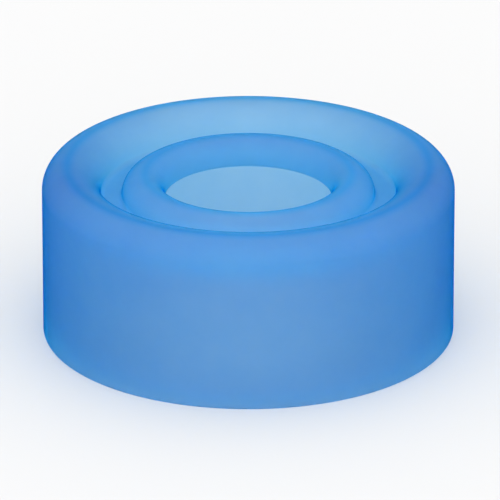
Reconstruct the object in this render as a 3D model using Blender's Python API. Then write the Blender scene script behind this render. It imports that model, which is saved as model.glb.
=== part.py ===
"""An elastomer sealing sleeve, moulded in one piece.

A thick round wall is open underneath, so that it pushes over the end of a tube.
A web closes its top. A rounded lip stands round the hole in the middle of the web,
and a groove runs between the lip and the sleeve's rounded rim.
The whole body is one closed outline turned about the Z axis. Units are metres.
"""
import math

import bmesh
import bpy

# Overall sizes.
OUTER_DIAMETER = 0.0620
HEIGHT = 0.0264

# The wall, and the socket inside it that holds the tube.
WALL = 0.0065
BASE_ROUND = 0.0004        # the outer edge of the face that it stands on
MOUTH_CHAMFER = 0.0008     # the lead-in for the tube
SOCKET_FILLET = 0.0010     # where the wall meets the tube's seat
SEAT_WIDTH = 0.0055        # the flat ring under the web that the tube's end meets

# The rim and the groove.
RIM_OUTER_ROUND = 0.0038   # from the outer wall up to the crest
RIM_INNER_WIDTH = 0.0050   # across, from the crest to the foot of the slope into the groove
GROOVE_DEPTH = 0.0050      # the floor below the crest of the rim
GROOVE_FLOOR = 0.0032      # width at the bottom, with its two fillets
GROOVE_FILLET = 0.0008     # at the foot of the rim
LIP_FILLET = 0.0006        # at the foot of the lip

# The web, its hole and the lip.
WEB_THICKNESS = 0.0022     # between the groove's floor and the tube's seat
BORE_DIAMETER = 0.0250
BORE_LAND = 0.0004         # how far the hole reaches below the groove's floor
BORE_ROUND = 0.0003        # the hole's lower edge
LIP_HEIGHT = 0.0036        # the lip's crest above the groove's floor
LIP_CREST = 0.46           # where the crest lies between the hole and the lip's foot

# How finely the solid is faceted.
SEGMENTS = 72              # round the axis; a multiple of 4, so the width is exact
ROUND_STEPS = 7            # along a quarter of a large round
FILLET_STEPS = 3           # along a quarter of a small one

FROSTED_BLUE = (0.095, 0.312, 0.680, 1.0)
MERGE_DISTANCE = 0.000001


def quarter(centre, radii, start, end, steps):
    """Points on an ellipse about centre, from one angle in degrees to another."""
    points = []
    for step in range(steps + 1):
        angle = math.radians(start + (end - start) * step / steps)
        points.append((centre[0] + radii[0] * math.cos(angle),
                       centre[1] + radii[1] * math.sin(angle)))
    return points


def rim_outline():
    """Up the outer wall, over the crest of the rim and down to the groove's floor."""
    outer = OUTER_DIAMETER / 2
    crest = outer - RIM_OUTER_ROUND
    foot = crest - RIM_INNER_WIDTH
    slope = GROOVE_DEPTH - GROOVE_FILLET
    points = quarter((outer - BASE_ROUND, BASE_ROUND), (BASE_ROUND, BASE_ROUND), -90, 0, FILLET_STEPS)
    points += quarter((crest, HEIGHT - RIM_OUTER_ROUND), (RIM_OUTER_ROUND, RIM_OUTER_ROUND),
                      0, 90, ROUND_STEPS)
    points += quarter((crest, HEIGHT - slope), (RIM_INNER_WIDTH, slope), 90, 180, ROUND_STEPS)
    points += quarter((foot - GROOVE_FILLET, HEIGHT - slope), (GROOVE_FILLET, GROOVE_FILLET),
                      0, -90, FILLET_STEPS)
    return points


def lip_outline():
    """From the groove's floor over the lip, and down through the hole."""
    foot = OUTER_DIAMETER / 2 - RIM_OUTER_ROUND - RIM_INNER_WIDTH - GROOVE_FLOOR
    bore = BORE_DIAMETER / 2
    crest = bore + LIP_CREST * (foot - bore)
    floor = HEIGHT - GROOVE_DEPTH
    top = floor + LIP_HEIGHT
    flank = LIP_HEIGHT - LIP_FILLET
    points = quarter((foot + LIP_FILLET, floor + LIP_FILLET), (LIP_FILLET, LIP_FILLET),
                     -90, -180, FILLET_STEPS)
    points += quarter((crest, top - flank), (foot - crest, flank), 0, 90, ROUND_STEPS)
    points += quarter((crest, floor), (crest - bore, LIP_HEIGHT), 90, 180, ROUND_STEPS)
    points += quarter((bore + BORE_ROUND, floor - BORE_LAND + BORE_ROUND), (BORE_ROUND, BORE_ROUND),
                      180, 270, FILLET_STEPS)
    return points


def socket_outline():
    """Along the dished underside of the web, then down the socket to its mouth."""
    socket = OUTER_DIAMETER / 2 - WALL
    seat = HEIGHT - GROOVE_DEPTH - WEB_THICKNESS
    points = [(socket - SEAT_WIDTH, seat)]
    points += quarter((socket - SOCKET_FILLET, seat - SOCKET_FILLET), (SOCKET_FILLET, SOCKET_FILLET),
                      90, 0, FILLET_STEPS)
    points += [(socket, MOUTH_CHAMFER), (socket + MOUTH_CHAMFER, 0)]
    return points


def turn(name, outline):
    """Turn a closed outline of (radius, height) points once about the Z axis."""
    mesh = bpy.data.meshes.new(name)
    body = bmesh.new()
    ring = [body.verts.new((radius, 0, height)) for radius, height in outline]
    for index, vertex in enumerate(ring):
        body.edges.new((ring[index - 1], vertex))
    bmesh.ops.remove_doubles(body, verts=body.verts, dist=MERGE_DISTANCE)
    bmesh.ops.spin(body, geom=body.verts[:] + body.edges[:], cent=(0, 0, 0), axis=(0, 0, 1),
                   angle=2 * math.pi, steps=SEGMENTS, use_merge=True)
    bmesh.ops.remove_doubles(body, verts=body.verts, dist=MERGE_DISTANCE)
    bmesh.ops.recalc_face_normals(body, faces=body.faces)
    body.to_mesh(mesh)
    body.free()
    mesh.shade_smooth()
    mesh.set_sharp_from_angle(angle=math.radians(40))
    piece = bpy.data.objects.new(name, mesh)
    bpy.context.scene.collection.objects.link(piece)
    return piece


def silicone():
    """Moulded silicone rubber: soft, and frosted all over by the mould."""
    material = bpy.data.materials.new("frosted_blue_silicone")
    material.use_nodes = True
    shader = material.node_tree.nodes["Principled BSDF"]
    shader.inputs["Base Color"].default_value = FROSTED_BLUE
    shader.inputs["Roughness"].default_value = 0.4
    shader.inputs["Metallic"].default_value = 0.0
    return material


for old in list(bpy.data.objects):
    bpy.data.objects.remove(old)

sleeve = turn("sleeve", rim_outline() + lip_outline() + socket_outline())
sleeve.data.materials.append(silicone())
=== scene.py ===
"""A sealing sleeve of frosted blue silicone, moulded in one piece, on a pale floor. Units are metres."""
import math

import bpy
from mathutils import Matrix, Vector


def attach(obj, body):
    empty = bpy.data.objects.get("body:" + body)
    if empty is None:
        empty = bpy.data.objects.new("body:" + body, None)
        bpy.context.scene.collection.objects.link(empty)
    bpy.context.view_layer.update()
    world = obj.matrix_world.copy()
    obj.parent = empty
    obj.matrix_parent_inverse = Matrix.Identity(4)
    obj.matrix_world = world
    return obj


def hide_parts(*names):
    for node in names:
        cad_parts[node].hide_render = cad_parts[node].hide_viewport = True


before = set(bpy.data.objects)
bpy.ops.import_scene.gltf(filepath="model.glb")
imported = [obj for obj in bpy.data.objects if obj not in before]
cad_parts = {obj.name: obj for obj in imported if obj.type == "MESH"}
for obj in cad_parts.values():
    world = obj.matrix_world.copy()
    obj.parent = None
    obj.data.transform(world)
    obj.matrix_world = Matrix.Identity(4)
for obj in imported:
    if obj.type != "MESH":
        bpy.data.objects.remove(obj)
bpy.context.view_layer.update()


# ---- Camera ----
# A long lens 1.2 m away looks down on the sleeve, from about 23 degrees above the floor.
# It aims at the middle of the sleeve's height, a hair to the right of its axis.
camera_distance = 1.2
camera_elevation = math.radians(22.861)
aim = Vector((0.000248, 0.0, 0.012559))
towards_camera = Vector((0.0, -math.cos(camera_elevation), math.sin(camera_elevation)))
camera_data = bpy.data.cameras.new("camera")
camera_data.sensor_width = 36.0
camera_data.lens = 573.5
camera_data.clip_start = 0.01
camera_data.dof.use_dof = False
camera = bpy.data.objects.new("camera", camera_data)
camera.location = aim + towards_camera * camera_distance
camera.rotation_euler = (-towards_camera).to_track_quat("-Z", "Y").to_euler()
bpy.context.scene.collection.objects.link(camera)
bpy.context.scene.camera = camera


# ---- Sleeve ----
# One body of silicone rubber, shot in a closed mould whose faces are lightly blasted, which frosts it.
# Its wall pushes over the end of a tube, and the lip round its hole seals on what passes through.
# The solid is one closed outline turned about the Z axis, so a tree of nodes turns it.


def to_linear(colour):
    """An sRGB hex colour as the linear red, green, blue and alpha that Blender's sockets take."""
    values = [int(colour[start:start + 2], 16) / 255 for start in (1, 3, 5)]
    return [v / 12.92 if v <= 0.04045 else ((v + 0.055) / 1.055) ** 2.4 for v in values] + [1.0]


def add_node(tree, kind, inputs=(), **settings):
    """Add a node with its settings. An input is given a constant, or another node's socket to link."""
    made = tree.nodes.new(kind)
    for name, value in settings.items():
        setattr(made, name, value)
    for key, value in dict(inputs).items():
        if isinstance(value, bpy.types.NodeSocket):
            tree.links.new(value, made.inputs[key])
        else:
            made.inputs[key].default_value = value
    return made


# A group for one round of the outline: a row of points on part of an ellipse, from one angle to another.
# X is the distance from the axis and Y is the height. The order says where the row lies in the outline.
rounding = bpy.data.node_groups.new("Round of the outline", "GeometryNodeTree")
for name in ("Order", "Centre Radius", "Centre Height", "Across", "Up", "Start", "End"):
    rounding.interface.new_socket(name=name, in_out="INPUT", socket_type="NodeSocketFloat")
rounding.interface.new_socket(name="Steps", in_out="INPUT", socket_type="NodeSocketInt")
rounding.interface.new_socket(name="Points", in_out="OUTPUT", socket_type="NodeSocketGeometry")
given = add_node(rounding, "NodeGroupInput").outputs
count = add_node(rounding, "ShaderNodeMath", {0: given["Steps"], 1: 1.0}, operation="ADD")
index = add_node(rounding, "GeometryNodeInputIndex")
part = add_node(rounding, "ShaderNodeMath", {0: index.outputs[0], 1: given["Steps"]}, operation="DIVIDE")
arc = add_node(rounding, "ShaderNodeMath", {0: given["End"], 1: given["Start"]}, operation="SUBTRACT")
degrees = add_node(rounding, "ShaderNodeMath", {0: part.outputs[0], 1: arc.outputs[0], 2: given["Start"]},
                   operation="MULTIPLY_ADD")
angle = add_node(rounding, "ShaderNodeMath", {0: degrees.outputs[0]}, operation="RADIANS")
cosine = add_node(rounding, "ShaderNodeMath", {0: angle.outputs[0]}, operation="COSINE")
sine = add_node(rounding, "ShaderNodeMath", {0: angle.outputs[0]}, operation="SINE")
radius = add_node(rounding, "ShaderNodeMath",
                  {0: cosine.outputs[0], 1: given["Across"], 2: given["Centre Radius"]},
                  operation="MULTIPLY_ADD")
height = add_node(rounding, "ShaderNodeMath",
                  {0: sine.outputs[0], 1: given["Up"], 2: given["Centre Height"]},
                  operation="MULTIPLY_ADD")
place = add_node(rounding, "ShaderNodeCombineXYZ", {"X": radius.outputs[0], "Y": height.outputs[0]})
row = add_node(rounding, "GeometryNodePoints", {"Count": count.outputs[0], "Position": place.outputs[0]})
order_span = 0.9
rank = add_node(rounding, "ShaderNodeMath", {0: part.outputs[0], 1: order_span, 2: given["Order"]},
                operation="MULTIPLY_ADD")
ranked = add_node(rounding, "GeometryNodeStoreNamedAttribute",
                  {"Geometry": row.outputs[0], "Name": "order", "Value": rank.outputs[0]})
add_node(rounding, "NodeGroupOutput", {"Points": ranked.outputs[0]})

# The moulding's real sizes and the fineness of its mesh are the inputs of the tree that turns it.
sleeve_sizes = {
    "Outer Radius": 0.0310,
    "Height": 0.0264,
    "Wall": 0.0065,
    "Base Round": 0.0004,
    "Mouth Chamfer": 0.0008,
    "Socket Fillet": 0.0010,
    "Seat Width": 0.0055,
    "Rim Round": 0.0038,
    "Rim Inner Width": 0.0050,
    "Groove Depth": 0.0050,
    "Groove Floor": 0.0032,
    "Groove Fillet": 0.0008,
    "Lip Fillet": 0.0006,
    "Web": 0.0022,
    "Bore Radius": 0.0125,
    "Bore Land": 0.0004,
    "Bore Round": 0.0003,
    "Lip Height": 0.0036,
    "Lip Crest": 0.46,
}
sleeve_steps = {
    "Segments": 256,
    "Round Steps": 22,
    "Fillet Steps": 7,
    "No Steps": 0,
}
turning = bpy.data.node_groups.new("Turned sleeve", "GeometryNodeTree")
turning.interface.new_socket(name="Geometry", in_out="INPUT", socket_type="NodeSocketGeometry")
identifier = {}
for kind, names in (("NodeSocketFloat", sleeve_sizes), ("NodeSocketInt", sleeve_steps),
                    ("NodeSocketMaterial", ("Material",))):
    for name in names:
        made = turning.interface.new_socket(name=name, in_out="INPUT", socket_type=kind)
        identifier[name] = made.identifier
turning.interface.new_socket(name="Geometry", in_out="OUTPUT", socket_type="NodeSocketGeometry")
given = add_node(turning, "NodeGroupInput").outputs
size = {name: given[name] for name in identifier}

# What the sizes add up to.
for name, operation, first, second in (
    ("base centre", "SUBTRACT", "Outer Radius", "Base Round"),
    ("rim crest", "SUBTRACT", "Outer Radius", "Rim Round"),
    ("rim centre height", "SUBTRACT", "Height", "Rim Round"),
    ("slope", "SUBTRACT", "Groove Depth", "Groove Fillet"),
    ("slope foot height", "SUBTRACT", "Height", "slope"),
    ("rim foot", "SUBTRACT", "rim crest", "Rim Inner Width"),
    ("groove fillet centre", "SUBTRACT", "rim foot", "Groove Fillet"),
    ("groove height", "SUBTRACT", "Height", "Groove Depth"),
    ("lip foot", "SUBTRACT", "rim foot", "Groove Floor"),
    ("lip fillet centre", "ADD", "lip foot", "Lip Fillet"),
    ("lip fillet height", "ADD", "groove height", "Lip Fillet"),
    ("lip width", "SUBTRACT", "lip foot", "Bore Radius"),
    ("lip inner width", "MULTIPLY", "lip width", "Lip Crest"),
    ("lip outer width", "SUBTRACT", "lip width", "lip inner width"),
    ("lip crest", "ADD", "Bore Radius", "lip inner width"),
    ("lip flank", "SUBTRACT", "Lip Height", "Lip Fillet"),
    ("bore edge centre", "ADD", "Bore Radius", "Bore Round"),
    ("bore edge", "SUBTRACT", "groove height", "Bore Land"),
    ("bore edge height", "ADD", "bore edge", "Bore Round"),
    ("socket", "SUBTRACT", "Outer Radius", "Wall"),
    ("seat height", "SUBTRACT", "groove height", "Web"),
    ("seat edge", "SUBTRACT", "socket", "Seat Width"),
    ("socket fillet centre", "SUBTRACT", "socket", "Socket Fillet"),
    ("socket fillet height", "SUBTRACT", "seat height", "Socket Fillet"),
    ("mouth", "ADD", "socket", "Mouth Chamfer"),
    ("nothing", "SUBTRACT", "Height", "Height"),
):
    made = add_node(turning, "ShaderNodeMath", {0: size[first], 1: size[second]}, operation=operation)
    size[name] = made.outputs[0]

# The outline, from the foot of the outer wall over the rim and the lip, down the hole and the socket.
outline = add_node(turning, "GeometryNodeJoinGeometry")
for order, (radius, height, across, up, start, end, steps) in enumerate((
    ("base centre", "Base Round", "Base Round", "Base Round", -90, 0, "Fillet Steps"),
    ("rim crest", "rim centre height", "Rim Round", "Rim Round", 0, 90, "Round Steps"),
    ("rim crest", "slope foot height", "Rim Inner Width", "slope", 90, 180, "Round Steps"),
    ("groove fillet centre", "slope foot height", "Groove Fillet", "Groove Fillet", 0, -90, "Fillet Steps"),
    ("lip fillet centre", "lip fillet height", "Lip Fillet", "Lip Fillet", -90, -180, "Fillet Steps"),
    ("lip crest", "lip fillet height", "lip outer width", "lip flank", 0, 90, "Round Steps"),
    ("lip crest", "groove height", "lip inner width", "Lip Height", 90, 180, "Round Steps"),
    ("bore edge centre", "bore edge height", "Bore Round", "Bore Round", 180, 270, "Fillet Steps"),
    ("seat edge", "seat height", "nothing", "nothing", 0, 0, "No Steps"),
    ("socket fillet centre", "socket fillet height", "Socket Fillet", "Socket Fillet", 90, 0, "Fillet Steps"),
    ("socket", "Mouth Chamfer", "nothing", "nothing", 0, 0, "No Steps"),
    ("mouth", "nothing", "nothing", "nothing", 0, 0, "No Steps"),
)):
    made = add_node(turning, "GeometryNodeGroup",
                    {"Order": order, "Centre Radius": size[radius], "Centre Height": size[height],
                     "Across": size[across], "Up": size[up], "Start": start, "End": end,
                     "Steps": size[steps]}, node_tree=rounding)
    turning.links.new(made.outputs[0], outline.inputs[0])

ordered = add_node(turning, "GeometryNodeInputNamedAttribute", {"Name": "order"})
line = add_node(turning, "GeometryNodePointsToCurves",
                {"Points": outline.outputs[0], "Weight": ordered.outputs["Attribute"]})
closed = add_node(turning, "GeometryNodeSetSplineCyclic", {"Geometry": line.outputs[0], "Cyclic": True})

# The path is the circle of the outer wall, so the outline is measured inwards from there. On that path a
# profile's Y points down, so the outline is turned over, and the faces that this turns round are flipped.
inwards = add_node(turning, "ShaderNodeMath", {0: size["nothing"], 1: size["Outer Radius"]},
                   operation="SUBTRACT")
offset = add_node(turning, "ShaderNodeCombineXYZ", {"X": inwards.outputs[0]})
profile = add_node(turning, "GeometryNodeTransform",
                   {"Geometry": closed.outputs[0], "Translation": offset.outputs[0],
                    "Scale": (1.0, -1.0, 1.0)})
path = add_node(turning, "GeometryNodeCurvePrimitiveCircle",
                {"Resolution": size["Segments"], "Radius": size["Outer Radius"]}, mode="RADIUS")
turned = add_node(turning, "GeometryNodeCurveToMesh",
                  {"Curve": path.outputs[0], "Profile Curve": profile.outputs[0]})
outwards = add_node(turning, "GeometryNodeFlipFaces", {"Mesh": turned.outputs[0]})
weld_distance = 0.000001
welded = add_node(turning, "GeometryNodeMergeByDistance",
                  {"Geometry": outwards.outputs[0], "Distance": weld_distance})
smooth = add_node(turning, "GeometryNodeSetShadeSmooth", {"Geometry": welded.outputs[0]}, domain="FACE")
plain = add_node(turning, "GeometryNodeRemoveAttribute", {"Geometry": smooth.outputs[0], "Name": "order"})
real = add_node(turning, "GeometryNodeRealizeInstances", {"Geometry": plain.outputs[0]})
finished = add_node(turning, "GeometryNodeSetMaterial",
                    {"Geometry": real.outputs[0], "Material": size["Material"]})
add_node(turning, "NodeGroupOutput", {0: finished.outputs[0]})

# Moulded translucent silicone. The blue pigment is dissolved right through it, so light that has gone
# further in it comes out deeper blue. The blasted mould frosts its skin, which gives it a soft gloss.
silicone = bpy.data.materials.new("moulded_translucent_silicone")
silicone.use_nodes = True
silicone.node_tree.nodes.clear()
tree = silicone.node_tree
where = add_node(tree, "ShaderNodeTexCoord")

# The pigment is kneaded in before moulding, and stays in faint clouds about 5 mm across.
clouds = add_node(tree, "ShaderNodeTexNoise",
                  {"Vector": where.outputs["Object"], "Scale": 200.0, "Detail": 3.0, "Roughness": 0.55})
density = add_node(tree, "ShaderNodeMapRange",
                   {"Value": clouds.outputs["Fac"], "From Min": 0.3, "From Max": 0.7})
tint = add_node(tree, "ShaderNodeMix",
                {"Factor": density.outputs["Result"], 6: to_linear("#E8D9F1"), 7: to_linear("#F7DFF2")},
                data_type="RGBA")

# Painted shade: the crests of the rim and the lip are painted a deeper blue. This stands in for the darker
# bands that the crests show where they are seen at a slant. Each is a soft ring about 3 mm wide. It keeps to
# the top, away from the socket below.
flat = add_node(tree, "ShaderNodeVectorMath", {0: where.outputs["Object"], 1: (1.0, 1.0, 0.0)},
                operation="MULTIPLY")
off_axis = add_node(tree, "ShaderNodeVectorMath", {0: flat.outputs[0]}, operation="LENGTH")
level = add_node(tree, "ShaderNodeSeparateXYZ", {0: where.outputs["Object"]})
rim_top = sleeve_sizes["Height"]
rim_crest = sleeve_sizes["Outer Radius"] - sleeve_sizes["Rim Round"]
lip_top = rim_top - sleeve_sizes["Groove Depth"] + sleeve_sizes["Lip Height"]
lip_foot = rim_crest - sleeve_sizes["Rim Inner Width"] - sleeve_sizes["Groove Floor"]
bore = sleeve_sizes["Bore Radius"]
lip_crest = bore + sleeve_sizes["Lip Crest"] * (lip_foot - bore)
colour = tint.outputs[2]
# For each crest: its radius, the ring's half width, the top, how far the ring reaches below it, and the
# deeper blue painted there as shade.
for crest, half_width, top, drop, painted_shade_blue in (
    (rim_crest, 0.0016, rim_top, 0.0009, "#8CCDF2"),
    (lip_crest, 0.0014, lip_top, 0.0007, "#A6D4F2"),
):
    away = add_node(tree, "ShaderNodeMath", {0: off_axis.outputs["Value"], 1: crest},
                    operation="SUBTRACT")
    gap = add_node(tree, "ShaderNodeMath", {0: away.outputs[0]}, operation="ABSOLUTE")
    near = add_node(tree, "ShaderNodeMapRange",
                    {"Value": gap.outputs[0], "From Min": 0.0, "From Max": half_width,
                     "To Min": 1.0, "To Max": 0.0}, interpolation_type="SMOOTHSTEP")
    on_top = add_node(tree, "ShaderNodeMath", {0: level.outputs["Z"], 1: top - drop},
                      operation="GREATER_THAN")
    # Painted shade: the mask of the deeper-blue ring painted on this crest.
    painted_shade_ring = add_node(tree, "ShaderNodeMath", {0: near.outputs["Result"], 1: on_top.outputs[0]},
                      operation="MULTIPLY")
    layer = add_node(tree, "ShaderNodeMix",
                     {"Factor": painted_shade_ring.outputs[0], 6: colour, 7: to_linear(painted_shade_blue)},
                     data_type="RGBA")
    colour = layer.outputs[2]

# The frosting is uneven, in patches about 2 mm across.
patches = add_node(tree, "ShaderNodeTexNoise",
                   {"Vector": where.outputs["Object"], "Scale": 500.0, "Detail": 2.0})
frosting = add_node(tree, "ShaderNodeMapRange",
                    {"Value": patches.outputs["Fac"], "From Min": 0.3, "From Max": 0.7,
                     "To Min": 0.59, "To Max": 0.67})

# The grain that blasting leaves is about 0.1 mm. It is drawn 0.35 mm across, as fine as shows.
grain = add_node(tree, "ShaderNodeTexNoise",
                 {"Vector": where.outputs["Object"], "Scale": 2900.0, "Detail": 2.0})
skin = add_node(tree, "ShaderNodeBump",
                {"Height": grain.outputs["Fac"], "Strength": 0.25, "Distance": 0.00002})

# The coat mirrors nothing of its own. Its tint deepens the blue where the skin is seen at a slant, and
# stands in for the light that real silicone scatters inside.
body = add_node(tree, "ShaderNodeBsdfPrincipled",
                {"Base Color": colour, "Roughness": frosting.outputs["Result"],
                 "Normal": skin.outputs["Normal"], "IOR": 1.40, "Transmission Weight": 0.94,
                 "Specular Tint": to_linear("#ACDFFF"), "Coat Weight": 1.0, "Coat Roughness": 0.42,
                 "Coat IOR": 1.00, "Coat Tint": to_linear("#E5FCFF")})
depth = add_node(tree, "ShaderNodeVolumeAbsorption",
                 {"Color": to_linear("#00E4FA"), "Density": 100.0})
add_node(tree, "ShaderNodeOutputMaterial", {"Surface": body.outputs[0], "Volume": depth.outputs[0]})

sharp_angle = math.radians(40)
sleeve_name = "sealing_sleeve"
sleeve = bpy.data.objects.new(sleeve_name, bpy.data.meshes.new(sleeve_name))
bpy.context.scene.collection.objects.link(sleeve)
modifier = sleeve.modifiers.new("turned", "NODES")
modifier.node_group = turning
for name, value in {**sleeve_sizes, **sleeve_steps, "Material": silicone}.items():
    modifier[identifier[name]] = value
evaluated = sleeve.evaluated_get(bpy.context.evaluated_depsgraph_get())
solid = bpy.data.meshes.new_from_object(evaluated)
sleeve.modifiers.clear()
sleeve.data = solid
solid.name = sleeve_name
solid.set_sharp_from_angle(angle=sharp_angle)
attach(sleeve, "root")
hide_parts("sleeve")


# ---- Floor ----
# A sheet of matt pale card, much wider than the view. Soft silicone clings to what it stands on, so the
# card lies a twentieth of a millimetre inside the foot, with no film of air between them. It is hidden
# from reflections, which keeps a pale sheen off the sides.
floor_half = 1.0
floor_height = 0.00005
floor_mesh = bpy.data.meshes.new("floor")
floor_mesh.from_pydata(
    [(-floor_half, -floor_half, floor_height), (floor_half, -floor_half, floor_height),
     (floor_half, floor_half, floor_height), (-floor_half, floor_half, floor_height)],
    [],
    [(0, 1, 2, 3)],
)
floor = bpy.data.objects.new("floor", floor_mesh)
bpy.context.scene.collection.objects.link(floor)
card = bpy.data.materials.new("matt_pale_card")
card.use_nodes = True
card_shader = card.node_tree.nodes["Principled BSDF"]
card_shader.inputs["Base Color"].default_value = to_linear("#CFCFCF")
card_shader.inputs["Roughness"].default_value = 0.9
floor_mesh.materials.append(card)
floor.visible_glossy = False


# ---- Light ----
# A light tent: soft light from all round, brightest from the front and strong from above. It ends at the
# horizon. There is no lamp, so nothing makes a sharp highlight.
tent = bpy.data.worlds.new("light_tent")
tent.use_nodes = True
tree = tent.node_tree
direction = add_node(tree, "ShaderNodeTexCoord")
along = add_node(tree, "ShaderNodeSeparateXYZ", {0: direction.outputs["Generated"]})
even_glow = 0.41
horizon_height = -0.02
strength = None
for side, axis, sign, power, brightness in (
    ("above", "Z", 1.0, 1.5, 1.27),
    ("front", "Y", -1.0, 2.0, 2.37),
    ("back", "Y", 1.0, 2.0, 0.22),
    ("left", "X", -1.0, 2.0, 0.36),
    ("right", "X", 1.0, 2.0, 0.36),
):
    facing = add_node(tree, "ShaderNodeMath", {0: along.outputs[axis], 1: sign}, operation="MULTIPLY")
    only = add_node(tree, "ShaderNodeMath", {0: facing.outputs[0], 1: 0.0}, operation="MAXIMUM")
    spread = add_node(tree, "ShaderNodeMath", {0: only.outputs[0], 1: power}, operation="POWER")
    before = even_glow if strength is None else strength.outputs[0]
    strength = add_node(tree, "ShaderNodeMath", {0: spread.outputs[0], 1: brightness, 2: before},
                        operation="MULTIPLY_ADD", label=side)
horizon = add_node(tree, "ShaderNodeMath", {0: along.outputs["Z"], 1: horizon_height},
                   operation="GREATER_THAN")
lit = add_node(tree, "ShaderNodeMath", {0: strength.outputs[0], 1: horizon.outputs[0]},
               operation="MULTIPLY")
tree.links.new(lit.outputs[0], tree.nodes["Background"].inputs["Strength"])
tree.nodes["Background"].inputs["Color"].default_value = (1.0, 1.0, 1.0, 1.0)
scene = bpy.context.scene
scene.world = tent
scene.view_settings.view_transform = "Standard"
scene.cycles.max_bounces = 24
scene.cycles.transmission_bounces = 24
scene.cycles.diffuse_bounces = 6
scene.cycles.glossy_bounces = 6
